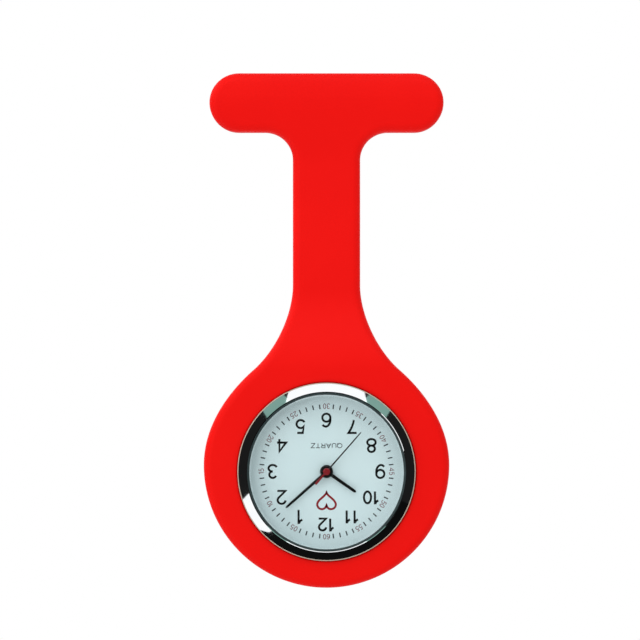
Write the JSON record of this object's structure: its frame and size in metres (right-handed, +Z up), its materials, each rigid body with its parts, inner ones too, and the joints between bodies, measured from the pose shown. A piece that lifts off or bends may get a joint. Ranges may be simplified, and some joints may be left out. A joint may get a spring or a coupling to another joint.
{
  "type": "fob watch",
  "caption": "Nurse's fob watch: round quartz watch with an upside-down dial in a red silicone cover with neck and cross bar, hung from a brooch pin behind the bar.",
  "frame": {"origin": "on the brooch pin's axis, level with the middle of the cover's cross bar", "axes": "+X along the brooch pin towards its point, +Z up along the hanging watch, the dial faces -Y"},
  "size_m": [0.0414, 0.0129, 0.0869],
  "materials": {
    "silicone": "soft matt, pigmented red",
    "case_metal": "polished plating on a die casting",
    "case_back_metal": "fine turned finish",
    "crystal_glass": "flat, bevelled and clear",
    "black_seal": "matt",
    "dial_print": "pale blue-green, satin, printed in black and dark red",
    "white_plastic": "satin moulding",
    "plate_plastic": "glass-filled, matt",
    "bridge_brass": "satin",
    "wheel_brass": "cut and polished",
    "steel": "fine ground",
    "soft_iron": "annealed, matt",
    "magnet": "sintered, dull",
    "copper_wire": "enamelled winding",
    "board": "green solder mask",
    "chip_resin": "potted blob",
    "can_metal": "bright can",
    "cell_metal": "satin nickel",
    "black_hand": "gloss black",
    "red_hand": "gloss red",
    "crown_metal": "polished and fluted",
    "pin_nickel": "bright nickel"
  },
  "bodies": {
    "cover": {"silicone_cover": "silicone", "watch_case": "case_metal", "crystal_gasket": "black_seal", "crystal": "crystal_glass", "dial": "dial_print", "movement_ring": "white_plastic", "case_back": "case_back_metal", "back_gasket": "black_seal", "case_tube": "steel", "main_plate": "plate_plastic", "train_bridge": "bridge_brass", "movement_screws": "steel", "stator": "soft_iron", "coil_core": "soft_iron", "coil": "copper_wire", "coil_screws": "steel", "circuit_board": "board", "timing_chip": "chip_resin", "quartz_crystal": "can_metal", "battery_contact": "wheel_brass", "battery": "cell_metal", "battery_clamp": "steel", "brooch_bar": "pin_nickel", "hinge_rivet": "pin_nickel"},
    "crown_slider": {"crown_gasket": "black_seal"},
    "crown_stem": {"crown": "crown_metal", "stem": "steel"},
    "clutch": {"sliding_pinion": "steel"},
    "lever_arm": {"setting_lever": "steel"},
    "yoke_arm": {"yoke": "steel"},
    "motor": {"rotor": "magnet"},
    "fifth": {"fifth_wheel": "wheel_brass"},
    "seconds_body": {"fourth_wheel": "wheel_brass", "second_hand": "red_hand"},
    "third": {"third_wheel": "wheel_brass"},
    "minutes_body": {"centre_wheel": "wheel_brass", "minute_hand": "black_hand"},
    "motion": {"minute_wheel": "wheel_brass"},
    "hours_body": {"hour_wheel": "wheel_brass", "hour_hand": "black_hand"},
    "pin": {"brooch_pin": "pin_nickel"},
    "catch": {"catch_sleeve": "pin_nickel"}
  },
  "joints": [
    {"name": "seconds", "type": "hinge", "parent": "cover", "child": "seconds_body", "pos_m": [0, -0.008, -0.0623], "axis": [0, 1, 0], "continuous": true},
    {"name": "rotor_spin", "type": "hinge", "parent": "cover", "child": "motor", "pos_m": [0.00141, -0.006, -0.06603], "axis": [0, 1, 0], "continuous": true},
    {"name": "fifth_spin", "type": "hinge", "parent": "cover", "child": "fifth", "pos_m": [0.00108, -0.006, -0.06417], "axis": [0, 1, 0], "continuous": true},
    {"name": "third_spin", "type": "hinge", "parent": "cover", "child": "third", "pos_m": [-0.00105, -0.006, -0.05942], "axis": [0, 1, 0], "continuous": true},
    {"name": "minutes", "type": "hinge", "parent": "cover", "child": "minutes_body", "pos_m": [0, -0.008, -0.0623], "axis": [0, 1, 0], "continuous": true},
    {"name": "minute_wheel_spin", "type": "hinge", "parent": "cover", "child": "motion", "pos_m": [-0.0024, -0.0078, -0.0623], "axis": [0, 1, 0], "continuous": true},
    {"name": "hours", "type": "hinge", "parent": "cover", "child": "hours_body", "pos_m": [0, -0.0085, -0.0623], "axis": [0, 1, 0], "continuous": true},
    {"name": "crown_pull", "type": "slide", "parent": "cover", "child": "crown_slider", "axis": [-1, 0, 0], "range_m": [0, 0.0008]},
    {"name": "crown_turn", "type": "hinge", "parent": "crown_slider", "child": "crown_stem", "pos_m": [-0.0166, -0.0064, -0.0623], "axis": [-1, 0, 0], "continuous": true},
    {"name": "clutch_slide", "type": "slide", "parent": "crown_stem", "child": "clutch", "axis": [-1, 0, 0], "range_m": [-0.0013, 0]},
    {"name": "lever_turn", "type": "hinge", "parent": "cover", "child": "lever_arm", "pos_m": [-0.0071, -0.005, -0.0603], "axis": [0, 1, 0], "range_deg": [0, 22.67]},
    {"name": "yoke_turn", "type": "hinge", "parent": "cover", "child": "yoke_arm", "pos_m": [-0.00487, -0.005, -0.0653], "axis": [0, 1, 0], "range_deg": [0, 9.58]},
    {"name": "pin_swing", "type": "hinge", "parent": "cover", "child": "pin", "pos_m": [-0.0135, 0, 0], "axis": [0, 0, 1], "range_deg": [0, 80]},
    {"name": "catch_turn", "type": "hinge", "parent": "cover", "child": "catch", "pos_m": [0.0125, 0, 0], "axis": [1, 0, 0], "range_deg": [0, 150]}
  ],
  "couplings": [
    {"joint": "rotor_spin", "follows": "seconds", "ratio": 30},
    {"joint": "fifth_spin", "follows": "seconds", "ratio": -5},
    {"joint": "third_spin", "follows": "seconds", "ratio": -0.13333},
    {"joint": "minutes", "follows": "seconds", "ratio": 0.016667},
    {"joint": "minute_wheel_spin", "follows": "seconds", "ratio": -0.0055556},
    {"joint": "hours", "follows": "seconds", "ratio": 0.0013889},
    {"joint": "clutch_slide", "follows": "crown_pull", "ratio": -1.625},
    {"joint": "lever_turn", "follows": "crown_pull", "rad_per_m": 493.49},
    {"joint": "yoke_turn", "follows": "crown_pull", "rad_per_m": 207.85}
  ]
}
